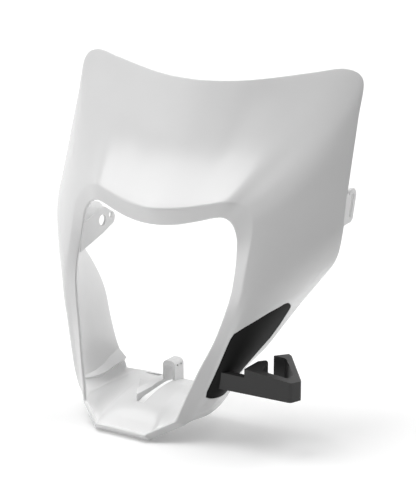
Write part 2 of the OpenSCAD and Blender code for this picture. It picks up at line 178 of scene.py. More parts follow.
# %% [markdown]
# ## Making a mesh
# Every piece is made from lists of points and faces. They are measured from the
# chin, so one function moves them into the frame and hangs the object on the
# mask's body. A second one turns all faces of a closed mesh outward.

# %% A mesh object in the frame
def new_object(name, verts, faces):
    """A mesh object from points measured from the chin, moved into the frame."""
    mesh = bpy.data.meshes.new(name)
    mesh.from_pydata([tuple(np.array(v) - HOLD) for v in verts], [], faces)
    mesh.validate()
    mesh.update()
    obj = bpy.data.objects.new(name, mesh)
    bpy.context.scene.collection.objects.link(obj)
    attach(obj, "root")
    return obj


def turn_outward(obj):
    """Turn the faces of a closed mesh so that they look outward."""
    bm = bmesh.new()
    bm.from_mesh(obj.data)
    bmesh.ops.recalc_face_normals(bm, faces=bm.faces)
    bm.to_mesh(obj.data)
    bm.free()
    return obj


print("origin of the frame, in mm from the chin", HOLD / MM)

# %% [markdown]
# ## The shell
# A moulding has no sharp corner. Each corner of a section is replaced by a short
# curve before the sections are joined, so the edge catches the light as a thin
# line. A bevel modifier would be less steady on a doubly curved sheet. Round the
# chin the wall turns so sharply that its inner lines are evened out too.

# %% Rounded corners and even lines
EVEN_FROM = 17.5
# a corner's curve takes up no more than this share of the lines beside it
CORNER_SHARE = 0.45


def round_corner(a, p, b, r, n=5):
    """A curve that cuts the corner p between a and b, r metres from it."""
    out = []
    reach_a = np.minimum(r, CORNER_SHARE * np.linalg.norm(a - p, axis=-1, keepdims=True))
    reach_b = np.minimum(r, CORNER_SHARE * np.linalg.norm(b - p, axis=-1, keepdims=True))
    start, end = p + unit(a - p) * reach_a, p + unit(b - p) * reach_b
    for w in np.linspace(0, 1, n):
        out.append((1 - w) ** 2 * start + 2 * w * (1 - w) * p + w**2 * end)
    return out


def even_out(points, s, rings=5):
    """Even out a line of points round the chin, where the wall turns sharply."""
    n = len(points)
    ends = np.concatenate([points[rings:0:-1] * FLIP, points, points[-2:-2 - rings:-1] * FLIP])
    weights = np.hanning(2 * rings + 3)[1:-1]
    smooth = sum(w * ends[k:k + n] for k, w in enumerate(weights)) / weights.sum()
    share = np.clip(s - EVEN_FROM, 0, 1)[:, None]
    return points * (1 - share) + smooth * share


print("lines are evened out from station", EVEN_FROM)

# %% [markdown]
# One section goes round the wall: lip, crease and outer surface, round the outer
# edge, and back along the inner surface. All sections have as many points, so
# joining them is only a matter of counting.

# %% Sections of the shell
LIP_R = 1.1 * MM
CREASE_R = 1.4 * MM
INNER_CREASE_R = 1.6 * MM
EDGE_R = 1.15 * MM
FRONT_T = 0.08
REAR_T = 0.95
# At the chin the inner surface starts further back, and a mitre has a limit.
CHIN_STATION = 18
CHIN_SETBACK = 0.14
MITRE_LIMIT = 0.35


def inner_surface(q, s, count):
    """Lines of the inner surface, from the crease to the outer edge."""
    first = FRONT_T + CHIN_SETBACK * np.clip(s - CHIN_STATION, 0, 1)
    lines = []
    for w in np.linspace(0, 1, count):
        t = first + (REAR_T - first) * w
        lines.append(even_out(across(q, t) + WALL * inward(s, t, LONG_STEP), s))
    return lines


def shell_sections(s, count=30):
    q = along(s)
    lip, crease, edge = q[:, 0], q[:, 1], across(q, np.ones_like(s))
    band_in, side_in = inward_band(s, LONG_STEP), inward(s, np.zeros_like(s), LONG_STEP)
    both = 1 + np.sum(band_in * side_in, -1, keepdims=True)
    mitre = (band_in + side_in) / np.maximum(both, MITRE_LIMIT)
    outer = [across(q, np.full_like(s, t)) for t in np.linspace(FRONT_T, REAR_T, count)]
    inner = inner_surface(q, s, count)
    lip_in, crease_in = even_out(lip + WALL * band_in, s), even_out(crease + WALL * mitre, s)
    edge_in = edge + WALL * inward(s, np.ones_like(s), LONG_STEP)
    rows = round_corner(lip_in, lip, crease, LIP_R)
    rows += round_corner(lip, crease, outer[0], CREASE_R, 7)
    rows += outer
    rows += round_corner(outer[-1], edge, edge_in, EDGE_R)
    rows += round_corner(edge, edge_in, inner[-1], EDGE_R)
    rows += inner[::-1]
    rows += round_corner(inner[0], crease_in, lip_in, INNER_CREASE_R)
    rows += round_corner(crease_in, lip_in, lip, LIP_R)
    return np.stack(rows, axis=1)


print("radius of the crease in mm", CREASE_R / MM)

# %% [markdown]
# The stations cover one half. The other half's sections are the same ones with
# x turned round, in reverse order, so that they close a ring round the opening.
# A mirror modifier would do too, but this leaves one mesh with no seam to weld.

# %% Join the sections of both halves
def shell_mesh(name, per_station=10):
    half = shell_sections(np.linspace(0, LAST, LAST * per_station + 1))
    ring = np.concatenate([half, half[-2:0:-1] * FLIP])
    n, m = ring.shape[:2]
    faces = []
    for j in range(n):
        for r in range(m):
            a, b = j * m + r, j * m + (r + 1) % m
            c, d = (j + 1) % n * m + (r + 1) % m, (j + 1) % n * m + r
            faces.append((a, d, c, b))
    return new_object(name, ring.reshape(-1, 3), faces)


shell = shell_mesh("mask_shell_fine")
white_pieces = [shell]
print("shell faces", len(shell.data.polygons))

# %% [markdown]
# ## Cutting with other meshes
# The recess, slots and holes are cut with a Boolean modifier that is applied at
# once, so the next cut starts from a plain mesh. The cutter is deleted. The
# manifold solver is quick and keeps closed meshes closed.

# %% Cut a mesh with another one
def cut(target, cutter, operation="DIFFERENCE"):
    mod = target.modifiers.new("cut", "BOOLEAN")
    mod.operation, mod.solver, mod.object = operation, "MANIFOLD", cutter
    depsgraph = bpy.context.evaluated_depsgraph_get()
    mesh = bpy.data.meshes.new_from_object(target.evaluated_get(depsgraph))
    target.modifiers.remove(mod)
    old, name = target.data, target.data.name
    target.data = mesh
    bpy.data.meshes.remove(old)
    mesh.name = name
    bpy.data.objects.remove(cutter, do_unlink=True)


print("cutters are made one at a time")

# %% [markdown]
# ## The recess for the hose guide
# The black guide lies flush in a shallow recess of the side wall. The recess
# follows the side surface, so its cutter is a slab between two depths under that
# surface. The outline is a short table of stations and fractions across. A
# flat cutter would leave the recess deeper in the middle than at its ends. The
# other side wall stays plain, as its outline in the photograph shows.

# %% A slab under the side surface
RECESS = np.array([
    [12.42, 0.610, 0.635], [12.46, 0.582, 0.664], [12.54, 0.470, 0.698], [12.70, 0.340, 0.748],
    [12.87, 0.208, 0.791], [13.10, 0.089, 0.815], [13.37, 0.062, 0.829], [13.79, 0.052, 0.849],
    [14.12, 0.048, 0.857], [14.43, 0.047, 0.852], [14.81, 0.043, 0.757], [15.09, 0.040, 0.701],
    [15.36, 0.036, 0.657], [15.68, 0.034, 0.668], [15.97, 0.060, 0.727], [16.07, 0.150, 0.745],
    [16.18, 0.290, 0.752], [16.32, 0.410, 0.735], [16.43, 0.500, 0.680], [16.48, 0.560, 0.620],
])
# Near the recess a station is about 16 mm long and the side about 60 mm wide.
STATION_MM = 16
SIDE_MM = 60
LEAST_T = 0.012


def slab_points(grow, sub, cols):
    """Stations and fractions of a grid over the recess, grow mm wider than it."""
    k = np.arange(len(RECESS))
    fine = np.linspace(0, len(RECESS) - 1, (len(RECESS) - 1) * sub + 1)
    rows = np.stack([np.interp(fine, k, RECESS[:, c]) for c in range(3)], 1)
    mid, half = (RECESS[0, 0] + RECESS[-1, 0]) / 2, (RECESS[-1, 0] - RECESS[0, 0]) / 2
    s = rows[:, 0] + grow / STATION_MM * (rows[:, 0] - mid) / half
    front, rear = np.maximum(rows[:, 1] - grow / SIDE_MM, LEAST_T), rows[:, 2] + grow / SIDE_MM
    c = np.linspace(0, 1, cols + 1)
    return np.repeat(s[:, None], cols + 1, 1), front[:, None] + (rear - front)[:, None] * c[None, :]


def slab(name, grow, depth_1, depth_2, sub=4, cols=14):
    """A closed slab between two depths, in mm, under the side surface."""
    ss, tt = slab_points(grow, sub, cols)
    skin_points, into = skin(ss, tt), inward(ss, tt)
    w, h = cols + 1, len(ss)
    verts = np.concatenate([(skin_points + depth * MM * into).reshape(-1, 3)
                            for depth in (depth_1, depth_2)])
    n = w * h
    faces = []
    for r in range(h - 1):
        for q in range(cols):
            a = r * w + q
            faces.append((a, a + 1, a + w + 1, a + w))
            faces.append((n + a, n + a + w, n + a + w + 1, n + a + 1))
    rim = ([(r * w, r * w + w) for r in range(h - 1)]
           + [((h - 1) * w + q, (h - 1) * w + q + 1) for q in range(cols)]
           + [((r + 1) * w + cols, r * w + cols) for r in range(h - 1)]
           + [(q + 1, q) for q in range(cols)])
    faces += [(a, b, n + b, n + a) for a, b in rim]
    return turn_outward(new_object(name, verts, faces))


print("points of the recess outline", len(RECESS))

# %% [markdown]
# Two screws hold the guide from inside, so the wall gets two holes. A hole has to
# be square to the curved wall, so its cutter is built on the surface's own
# direction there.

# %% Drill a hole square to the side
SCREW_AT = ((13.55, 0.42), (15.35, 0.42))


def drill_side(target, s, t, diameter, low, high, count=32):
    """Cut a hole square to the side surface, from low to high mm outside it."""
    place, out = Vector(skin(s, t)), Vector(-inward(s, t))
    u = out.orthogonal().normalized()
    v = out.cross(u)
    verts = []
    for depth in (low, high):
        for k in range(count):
            angle = 2 * math.pi * k / count
            spoke = u * math.cos(angle) + v * math.sin(angle)
            verts.append(place + out * depth * MM + spoke * diameter / 2 * MM)
    faces = [tuple(range(count - 1, -1, -1)), tuple(range(count, 2 * count))]
    faces += [(k, (k + 1) % count, count + (k + 1) % count, count + k) for k in range(count)]
    cut(target, new_object("drill", verts, faces))


print("screws at", [(skin(s, t) / MM).round(1) for s, t in SCREW_AT])

# %% [markdown]
# A thicker pad goes on first, because the recess is deeper than the wall. Then
# the recess is cut 3 mm deep, and the holes go through.

# %% Pad, recess and screw holes
RECESS_DEPTH = 3.0
WALL_HOLE_D = 4.1
cut(shell, slab("pad", grow=2.3, depth_1=0.9, depth_2=5.2), "UNION")
cut(shell, slab("pocket", grow=0.25, depth_1=-2.5, depth_2=RECESS_DEPTH))
for s, t in SCREW_AT:
    drill_side(shell, s, t, WALL_HOLE_D, low=-9.5, high=-1)
print("shell after the recess", len(shell.data.polygons))

# %% [markdown]
# ## The camera
# It stands where the photograph's did: it was fitted to measured points of the
# mask. Its three axes are the right, up and backward directions. Writing them
# as a matrix is plainer than a tracking constraint, and gives the same each run.

# %% Place the camera
AZIMUTH = math.radians(31.717)
ELEVATION = math.radians(14.964)
FOCAL_PX = 1434.99
PHOTO_HEIGHT_PX = 499
SENSOR_MM = 36
CAMERA_FROM_CHIN = np.array([562.756, -790.386, 397.385]) * MM
FAR_CLIP = 20
side_way = Vector((math.cos(AZIMUTH), math.sin(AZIMUTH), 0))
rear_way = Vector((-math.sin(AZIMUTH), math.cos(AZIMUTH), 0))
up_way = rear_way * math.sin(ELEVATION) + Vector((0, 0, math.cos(ELEVATION)))
back_way = Vector((0, 0, math.sin(ELEVATION))) - rear_way * math.cos(ELEVATION)
camera_data = bpy.data.cameras.new("photo_view")
camera = bpy.data.objects.new("photo_view", camera_data)
bpy.context.scene.collection.objects.link(camera)
camera_data.sensor_fit = "AUTO"
camera_data.sensor_width = SENSOR_MM
camera_data.lens = SENSOR_MM * FOCAL_PX / PHOTO_HEIGHT_PX
camera_data.clip_end = FAR_CLIP
turn = Matrix((side_way, up_way, back_way)).transposed()
camera.matrix_world = Matrix.Translation(CAMERA_FROM_CHIN - HOLD) @ turn.to_4x4()
bpy.context.scene.camera = camera
print("lens", round(camera_data.lens, 2), "mm")

# %% [markdown]
# ## Small moulded features
# Tabs, ears, ribs and the arch are flat plates on the real moulding. Each one is
# an outline that is extruded along one axis. Outlines have rounded corners, and
# the long edges get a bevel, because a flat plate bevels cleanly.

# %% Outlines with round corners
def circle(centre, radius, n=40, start=0, turn=360):
    """Points of a circle, or of an arc where turn is under 360 degrees."""
    full = abs(turn) >= 360
    steps = n if full else n + 1
    angles = [math.radians(start + turn * k / n) for k in range(steps)]
    return [(centre[0] + radius * math.cos(a), centre[1] + radius * math.sin(a)) for a in angles]


def fillet_outline(points, n=6):
    """Outline whose points are (x, y, radius), with each corner rounded."""
    out = []
    for k, (x, y, r) in enumerate(points):
        p = np.array([x, y], float)
        if r <= 0:
            out.append((x, y))
            continue
        a, b = np.array(points[k - 1][:2]), np.array(points[(k + 1) % len(points)][:2])
        u, v = (a - p) / np.linalg.norm(a - p), (b - p) / np.linalg.norm(b - p)
        half = math.acos(max(min(float(u @ v), 1), -1)) / 2
        centre = p + (u + v) / np.linalg.norm(u + v) * r / math.sin(half)
        start, end = p + u * r / math.tan(half) - centre, p + v * r / math.tan(half) - centre
        w0, w1 = math.atan2(start[1], start[0]), math.atan2(end[1], end[0])
        turn = (w1 - w0 + math.pi) % (2 * math.pi) - math.pi
        angles = [w0 + turn * i / n for i in range(n + 1)]
        out += [(centre[0] + r * math.cos(w), centre[1] + r * math.sin(w)) for w in angles]
    return out


print("points of a rounded corner", len(fillet_outline([(0, 0, 0), (9, 0, 1), (0, 9, 0)])) - 2)

# %% [markdown]
# The outline becomes a closed mesh with flat ends. Its edges are softened by a
# bevel modifier with hardened normals, which keeps the flat faces flat and lets
# only the edges catch the light.

# %% Extrude an outline, and soften its edges
def prism(name, outline, low, high, axis):
    """Extrude a 2-D outline in millimetres along x, y or z."""
    order = {"x": (2, 0, 1), "y": (0, 2, 1), "z": (0, 1, 2)}[axis]

    def place(p, h):
        raw = (p[0], p[1], h)
        return Vector(raw[i] for i in order) * MM

    n = len(outline)
    verts = [place(p, low) for p in outline] + [place(p, high) for p in outline]
    faces = [tuple(range(n)), tuple(range(2 * n - 1, n - 1, -1))]
    faces += [(k, n + k, n + (k + 1) % n, (k + 1) % n) for k in range(n)]
    return turn_outward(new_object(name, verts, faces))


def soften(obj, width=0.5, segments=3, angle=32):
    """Round the edges and shade them smoothly."""
    bevel = obj.modifiers.new("soft_edges", "BEVEL")
    bevel.width, bevel.segments = width * MM, segments
    bevel.limit_method, bevel.angle_limit = "ANGLE", math.radians(angle)
    bevel.harden_normals = True
    obj.data.shade_smooth()
    return obj


print("a prism runs along x, y or z")

# %% [markdown]
# The headlight hangs between two tabs inside the opening's upper corners. Each
# has a large hole for a screw or grommet and a small one beside it. A tab is
# 2 mm thick, so a plain extrusion with two drilled holes is the whole form. It
# could be joined to the shell, but a mesh of its own keeps its bevel clean.

# %% Tabs for the headlight
TAB = [(49.5, 137.5, 0), (73.2, 145.6, 3), (78, 145.4, 3), (90, 138.6, 2.5), (91.2, 135.5, 1.5),
       (90, 131, 3), (75, 125, 4), (63, 121.3, 3), (46, 116.4, 0)]
TAB_X = (68.2, 70.2)
TAB_HOLE_R = 4.4
PIN_HOLE_AT, PIN_HOLE_R = (85.6, 137.5), 2.4
TAB_HOLES = (circle(TAB_HOLE_AT, TAB_HOLE_R, 48), circle(PIN_HOLE_AT, PIN_HOLE_R, 32))
# how far a cutter reaches past the plate that it cuts, mm
PAST = 2


def plate_on_side(name, side, outline, x_range, holes):
    """A plate across x on one side, with holes of the given outlines."""
    low, high = sorted(side * x for x in x_range)
    plate = prism(name, outline, low, high, "x")
    for hole in holes:
        cut(plate, prism("drill", hole, low - PAST, high + PAST, "x"))
    return soften(plate, width=0.45)


print("a tab is", round(TAB_X[1] - TAB_X[0], 1), "mm thick")

# %% [markdown]
# Rubber straps hold the mask to the fork legs. Their slotted ears stand behind
# the outer edges and lean with them. An ear's outline is two arcs about the ends
# of its slot, so that the rim round the slot is even. Two more points take its
# root to the wall.

# %% Strap ears
EAR_X = (119.7, 122.2)
EAR_MID = np.array([116.2, 162.0])
EAR_LEAN = np.array([0.29, 0.957])
EAR_HALF = 7.25
EAR_R = 5.4
EAR_SLOT_R = 2
EAR_ROOT_LOW, EAR_ROOT_HIGH = (92.3, 148), (100, 171.5)
lean_angle = math.degrees(math.atan2(EAR_LEAN[1], EAR_LEAN[0]))
ear_low, ear_high = EAR_MID - EAR_LEAN * EAR_HALF, EAR_MID + EAR_LEAN * EAR_HALF
EAR = ([EAR_ROOT_LOW] + circle(ear_low, EAR_R, 8, lean_angle - 180, 90)
       + circle(ear_high, EAR_R, 16, lean_angle - 90, 180) + [EAR_ROOT_HIGH])
EAR_SLOT = (circle(ear_high, EAR_SLOT_R, 16, lean_angle - 90, 180)
            + circle(ear_low, EAR_SLOT_R, 16, lean_angle + 90, 180))
print("an ear leans", round(90 - lean_angle, 1), "degrees backward")

# %% [markdown]
# Left and right are made in one loop, because the moulding is the same on both
# sides. Only the sign of x changes.

# %% Make tabs and ears on both sides
for side, word in SIDES:
    tab = plate_on_side(f"headlight_tab_{word}", side, fillet_outline(TAB), TAB_X, TAB_HOLES)
    ear = plate_on_side(f"strap_ear_{word}", side, EAR, EAR_X, (EAR_SLOT,))
    white_pieces += [tab, ear]
    print(tab.name, ear.name)

# %% [markdown]
# ## Webs and lips
# A web joins each tab's top edge to the side wall, and a lip stands out inside
# the wall under the recess. Both are short bars along a curved path: a row of
# four-cornered sections that are joined up. A curve with a bevel object could
# make them, but then their roots wouldn't follow the wall.

# %% Join sections into a bar
def swept(name, sections, side):
    """Join sections of equal point counts, with a face at each end."""
    points = np.array(sections)
    n, w = points.shape[:2]
    verts = points.reshape(-1, 3) * (FLIP if side < 0 else 1)
    faces = [tuple(range(w)), tuple((n - 1) * w + k for k in range(w - 1, -1, -1))]
    for j in range(n - 1):
        faces += [(j * w + k, (j + 1) * w + k, (j + 1) * w + (k + 1) % w, j * w + (k + 1) % w)
                  for k in range(w)]
    return turn_outward(new_object(name, verts, faces))


print("a bar has a face at each end")

# %% [markdown]
# A web is a thin shelf. Its inner corners follow the tab's top edge and its
# outer ones lie inside the side wall, so that no gap shows between them.

# %% Sections of a web
# each row: a point on the tab's top edge, then station and fraction on the wall
WEB = [((68.7, 51.5, 137.9), 8.97, 0.1), ((68.7, 62, 141.5), 9.05, 0.3),
       ((68.7, 73.2, 145.2), 9.3, 0.48), ((68.7, 78, 145.1), 9.6, 0.66),
       ((82.7, 91, 145.1), 9.85, 0.84)]
WEB_THICK = np.array([0, 0, 1.8]) * MM


def web_section(place, s, t):
    inner = np.array(place) * MM
    outer = skin(s, t) + 0.5 * WALL * inward(s, t)
    return [inner, inner - WEB_THICK, outer - WEB_THICK, outer]


web_sections = [web_section(*row) for row in WEB]
print("sections of a web", len(web_sections))

# %% [markdown]
# A lip is low at the front and grows to its full height at the rear. A table
# gives its path and height, and the sections between the rows are interpolated.

# %% Sections of a lip
# each row: fraction across the wall, station there, share of the full height
LIP = np.array([(0.16, 16.82, 0.1), (0.3, 16.93, 0.24), (0.43, 17.05, 0.38), (0.55, 17.1, 0.54),
                (0.67, 17.06, 0.71), (0.8, 16.92, 0.86), (0.985, 16.83, 1)])
LIP_HEIGHT = 4.2 * MM
LIP_SECTIONS = 25
# the root lies this far inside the wall, and the slope starts just outside it
LIP_SUNK = 0.8 * MM
LIP_PROUD = 0.1 * MM
# stations from the ridge to the foot above it, which grows with the height, and
# to the foot below it
FOOT_ABOVE, FOOT_GROWTH, FOOT_BELOW = 0.08, 0.47, 0.14


def lip_section(t, s, share):
    top, low = s - FOOT_ABOVE - FOOT_GROWTH * share, s + FOOT_BELOW
    root = WALL - LIP_SUNK
    return [skin(top, t) + root * inward(top, t),
            skin(top, t) + (WALL + LIP_PROUD) * inward(top, t),
            skin(s, t) + (WALL + LIP_HEIGHT * share) * inward(s, t),
            skin(low, t) + root * inward(low, t)]


lip_t = np.linspace(LIP[0, 0], LIP[-1, 0], LIP_SECTIONS)
lip_s, lip_share = (np.interp(lip_t, LIP[:, 0], LIP[:, k]) for k in (1, 2))
lip_sections = [lip_section(*row) for row in zip(lip_t, lip_s, lip_share)]
print("a lip is", round(LIP_HEIGHT / MM, 1), "mm high at the rear")

# %% [markdown]
# The sections are joined once for each side, and the bars' edges are rounded as
# the plates' edges were.

# %% Make webs and lips on both sides
for side, word in SIDES:
    web = swept(f"tab_web_{word}", web_sections, side)
    lip = swept(f"wall_lip_{word}", lip_sections, side)
    white_pieces += [soften(web), soften(lip)]
    print(web.name, lip.name)

# %% [markdown]
# ## The floor
# A tongue of the fork clamp goes through a slot in the floor, under a small arch.
# The slot is a plain cut. On the machine's right a low rib stands beside it. The
# rib's top is level, while its underside rises to the rear with the floor.

# %% Slot and low rib
SLOT_HALF, SLOT_FRONT, SLOT_REAR = 3.5, 23.4, 83
RIB_TOP = 22.7
slot = [(-SLOT_HALF, SLOT_FRONT), (SLOT_HALF, SLOT_FRONT),
        (SLOT_HALF, SLOT_REAR), (-SLOT_HALF, SLOT_REAR)]
cut(shell, prism("slot", slot, low=10, high=26, axis="z"))
rib_plan = [(-3.4, 24), (-10.9, 34), (-10.9, 70), (-3.4, 70)]
rib = prism("slot_rib", rib_plan, low=15, high=RIB_TOP, axis="z")
rib_side = [(20, 17), (72, 21.2), (72, 26), (20, 26)]
cut(rib, prism("sloping", rib_side, low=-14, high=0, axis="x"), "INTERSECT")
print("rib faces", len(rib.data.polygons))

# %% [markdown]
# A three-cornered hollow lies behind the rib. A flat cutter would go right
# through the arched floor, so the cutter is where a three-cornered prism and an
# arched one overlap. Its corners are then moved, so that the bottom slopes down
# towards the rib and runs out at the far corner.

# %% The three-cornered hollow
HOLLOW_NEAR, HOLLOW_FAR = -11, -28.9
# the bottom, seen from the side, with the space above it
HOLLOW_SIDE = [(36, 19.3), (41, 20.4), (48.6, 21.5), (56.6, 21.9), (63.2, 21.6), (68.3, 21.1),
               (73.5, 20.2), (73.5, 28), (36, 28)]
# the bottom is lowered at the rib, and rises by this much to the far corner, mm
HOLLOW_SUNK = 0.4
HOLLOW_RISE = 1.7
hollow_plan = [(HOLLOW_NEAR, 39), (HOLLOW_NEAR, 72), (HOLLOW_FAR, 67)]
hollow = prism("hollow", hollow_plan, low=15, high=30, axis="z")
cut(hollow, prism("arched", HOLLOW_SIDE, low=-40, high=0, axis="x"), "INTERSECT")
for vert in hollow.data.vertices:
    share = (HOLLOW_NEAR - vert.co.x / MM) / (HOLLOW_NEAR - HOLLOW_FAR)
    vert.co.z += (HOLLOW_RISE * share - HOLLOW_SUNK) * MM
cut(shell, hollow)
print("shell faces with slot and hollow", len(shell.data.polygons))

# %% [markdown]
# The arch is a thick plate across the slot, 12 mm deep, with a rounded top, a
# gap under it and two small holes for wire pins through both legs.

# %% The arch with its two cross holes
ARCH_Y = (62, 74)
ARCH_PINS = ((65.6, 34.2), (70.4, 34.2))
ARCH_PIN_R = 0.9
arch_outline = [(-5.5, 20.5, 0), (-5.5, 38, 4), (5.5, 38, 4), (5.5, 20.5, 0)]
arch_gap = [(-3.3, 19), (-3.3, 33.8), (3.3, 33.8), (3.3, 19)]
arch = prism("slot_arch", fillet_outline(arch_outline), *ARCH_Y, "y")
cut(arch, prism("gap", arch_gap, ARCH_Y[0] - PAST, ARCH_Y[1] + PAST, "y"))
for place in ARCH_PINS:
    cut(arch, prism("drill", circle(place, ARCH_PIN_R, 24), low=-9, high=9, axis="x"))
white_pieces += [soften(rib, width=0.4), soften(arch, width=0.4)]
print("arch faces", len(arch.data.polygons))

# %% [markdown]
# The shell is finished, so its shading is set: smooth, but with the edges of the
# cuts kept sharp. It then stands for the CAD model's shell.

# %% Shade the shell
SHARP_ANGLE = math.radians(34)
shell.data.shade_smooth()
shell.data.set_sharp_from_angle(angle=SHARP_ANGLE)
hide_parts("mask_shell")
print("white pieces", len(white_pieces))

# %% [markdown]
# ## The hose guide
# This is one black moulding: a thin plate that fills the recess, and an arm that
# ends in a hook for the brake hose. The plate is the recess's slab again, a
# little thinner and a little smaller, so its edge shows as a fine dark line.

# %% The guide's plate
PLATE_DEPTH = 2.95
SCREW_HOLE_D = 3.6
plate = slab("hose_guide_plate", grow=0, depth_1=0, depth_2=PLATE_DEPTH, sub=5, cols=16)
for s, t in SCREW_AT:
    drill_side(plate, s, t, SCREW_HOLE_D, low=-6, high=-0.8)
soften(plate, angle=50)
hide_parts("hose_guide")
print("plate faces", len(plate.data.polygons))

# %% [markdown]
# The arm has straight sides both from above and from the side, so it is where
# two extrusions overlap: the plan with its hook and tooth, and the side profile.
# Modelling it face by face would take longer and would be harder to change.

# %% The guide's arm
# station of the arm, and the fractions across of its root and of its foot's plane
ARM_STATION, ROOT_AT, FOOT_AT = 15.15, 0.131, 0.2
ROOT = skin(ARM_STATION, ROOT_AT) / MM
FOOT_SLOPE = -inward(ARM_STATION, FOOT_AT)
FOOT_SUNK = 1.4
REACH, ARM_T, END_H = 58, 6, 14
PLAN = [(-7, 1.2, 0), (REACH - 0.5, 1.2, 2.6), (REACH + 3.2, 10, 2), (REACH - 24.4, 46.6, 3.2),
        (REACH - 30.2, 50, 2.4), (REACH - 34.2, 45.6, 1.2), (REACH - 34.6, 37.6, 0.8),
        (REACH - 25, 39.2, 3.5), (REACH - 5.2, 14.6, 2.5), (REACH - 6.4, ARM_T + 1.2, 1.5),
        (31, ARM_T + 1.2, 1), (27.4, 23.2, 0.8), (24.2, 26.8, 1.2), (19.6, 19, 2),
        (18, ARM_T + 1.2, 1), (-7, ARM_T + 1.2, 0)]
PROFILE = [(-12, -7), (REACH + 2, -6.2), (REACH + 6, -5.8), (REACH + 6, END_H - 6.4),
           (20.6, END_H - 2.1), (20.6, 5.4), (-12, 5.9)]


def shifted(outline, dx, dy):
    return [(p[0] + dx, p[1] + dy) for p in outline]


plan = shifted(fillet_outline(PLAN), ROOT[0], ROOT[1])
arm = prism("hose_guide_arm", plan, low=ROOT[2] - 20, high=ROOT[2] + 30, axis="z")
profile = shifted(PROFILE, ROOT[0], ROOT[2])
across_arm = prism("profile", profile, low=ROOT[1] - 10, high=ROOT[1] + 70, axis="y")
cut(arm, across_arm, "INTERSECT")
print("arm faces before trimming", len(arm.data.polygons))

# %% [markdown]
# The arm's foot has to stand on the curved plate. A plane along the wall cuts it
# off a little below the plate's face, and its rim is closed again. A wide bevel
# gives the long, soft edges of a thick moulding.

# %% Trim the arm's foot
def trim(obj, place, way):
    """Cut off what lies behind a plane, and close the cut."""
    bm = bmesh.new()
    bm.from_mesh(obj.data)
    everything = bm.verts[:] + bm.edges[:] + bm.faces[:]
    made = bmesh.ops.bisect_plane(
        bm, geom=everything, plane_co=place, plane_no=way, clear_inner=True)
    rim = [e for e in made["geom_cut"] if isinstance(e, bmesh.types.BMEdge)]
    bmesh.ops.holes_fill(bm, edges=rim)
    bmesh.ops.recalc_face_normals(bm, faces=bm.faces)
    bm.to_mesh(obj.data)
    bm.free()


way = Vector(FOOT_SLOPE)
trim(arm, Vector(ROOT * MM - HOLD) - way * FOOT_SUNK * MM, way)
soften(arm, width=1.3, segments=4, angle=35)
print("arm faces", len(arm.data.polygons))

# %% [markdown]
# ## Materials
# Colours are written as the hex values that a designer would pick, and one
# function turns sRGB into Blender's linear light. Another one adds a node with
# its settings and links, so that a material reads as a short list.

# %% Colours and nodes
def linear(hex_colour):
    values = [int(hex_colour[i:i + 2], 16) / 255 for i in (1, 3, 5)]
    return tuple(v / 12.92 if v <= 0.04045 else ((v + 0.055) / 1.055) ** 2.4 for v in values) + (1,)


def add_node(tree, kind, settings=None, links=None):
    """Add a node. Keys are names or numbers of sockets, or names of properties."""
    made = tree.nodes.new(kind)
    for key, value in (settings or {}).items():
        if isinstance(key, int) or key in made.inputs:
            made.inputs[key].default_value = value
        else:
            setattr(made, key, value)
    for key, socket in (links or {}).items():
        tree.links.new(socket, made.inputs[key])
    return made


def new_material(name):
    material = bpy.data.materials.new(name)
    material.use_nodes = True
    material.node_tree.nodes.clear()
    return material, material.node_tree


print("light grey in linear light", linear("#F4F4F4")[0])

# %% [markdown]
# Injection-moulded plastic copies its mould: an even colour right through, a
# soft sheen, and a fine grain where the mould was grained. Large, faint clouds
# between two near colours keep it from looking painted. The grain is bump only.
# Real grain of about 0.2 mm would vanish in a picture of this size, so it is
# drawn up to six times as coarse, and very shallow.

# %% A moulded plastic
CLOUD_MM = 50


def moulded_plastic(name, dark, light, roughness, ior, grain_mm, grain_depth_mm):
    material, tree = new_material(name)
    coords = {"Vector": add_node(tree, "ShaderNodeTexCoord").outputs["Object"]}
    cloud = add_node(tree, "ShaderNodeTexNoise",
                     {"Scale": 1 / (CLOUD_MM * MM), "Detail": 3.0}, coords)
    # sockets 6 and 7 of a colour mix are its two colours, and output 2 the result
    colour = add_node(tree, "ShaderNodeMix",
                      {"data_type": "RGBA", 6: linear(dark), 7: linear(light)},
                      {"Factor": cloud.outputs["Fac"]})
    grain = add_node(tree, "ShaderNodeTexNoise",
                     {"Scale": 1 / (grain_mm * MM), "Detail": 2.0}, coords)
    bump = add_node(tree, "ShaderNodeBump", {"Strength": 0.5, "Distance": grain_depth_mm * MM},
                    {"Height": grain.outputs["Fac"]})
    shader = add_node(tree, "ShaderNodeBsdfPrincipled", {"Roughness": roughness, "IOR": ior},
                      {"Base Color": colour.outputs[2], "Normal": bump.outputs["Normal"]})
    add_node(tree, "ShaderNodeOutputMaterial", links={"Surface": shader.outputs["BSDF"]})
    return material


def dress(piece, material):
    """Give a piece its material."""
    piece.data.materials.clear()
    piece.data.materials.append(material)


print("clouds of", CLOUD_MM, "mm")

# %% [markdown]
# The mask is polypropylene, a tough and slightly waxy plastic with an IOR of
# 1.49. Its mould is polished, so the roughness is low, and the eye sees a clean
# satin white with soft highlights along the edges.

# %% White polypropylene
white_pp = moulded_plastic("white_polypropylene", "#EEEEEE", "#F4F4F4", 0.25, 1.49, 1.2, 0.004)
for piece in white_pieces:
    dress(piece, white_pp)
print("white", white_pp.name)
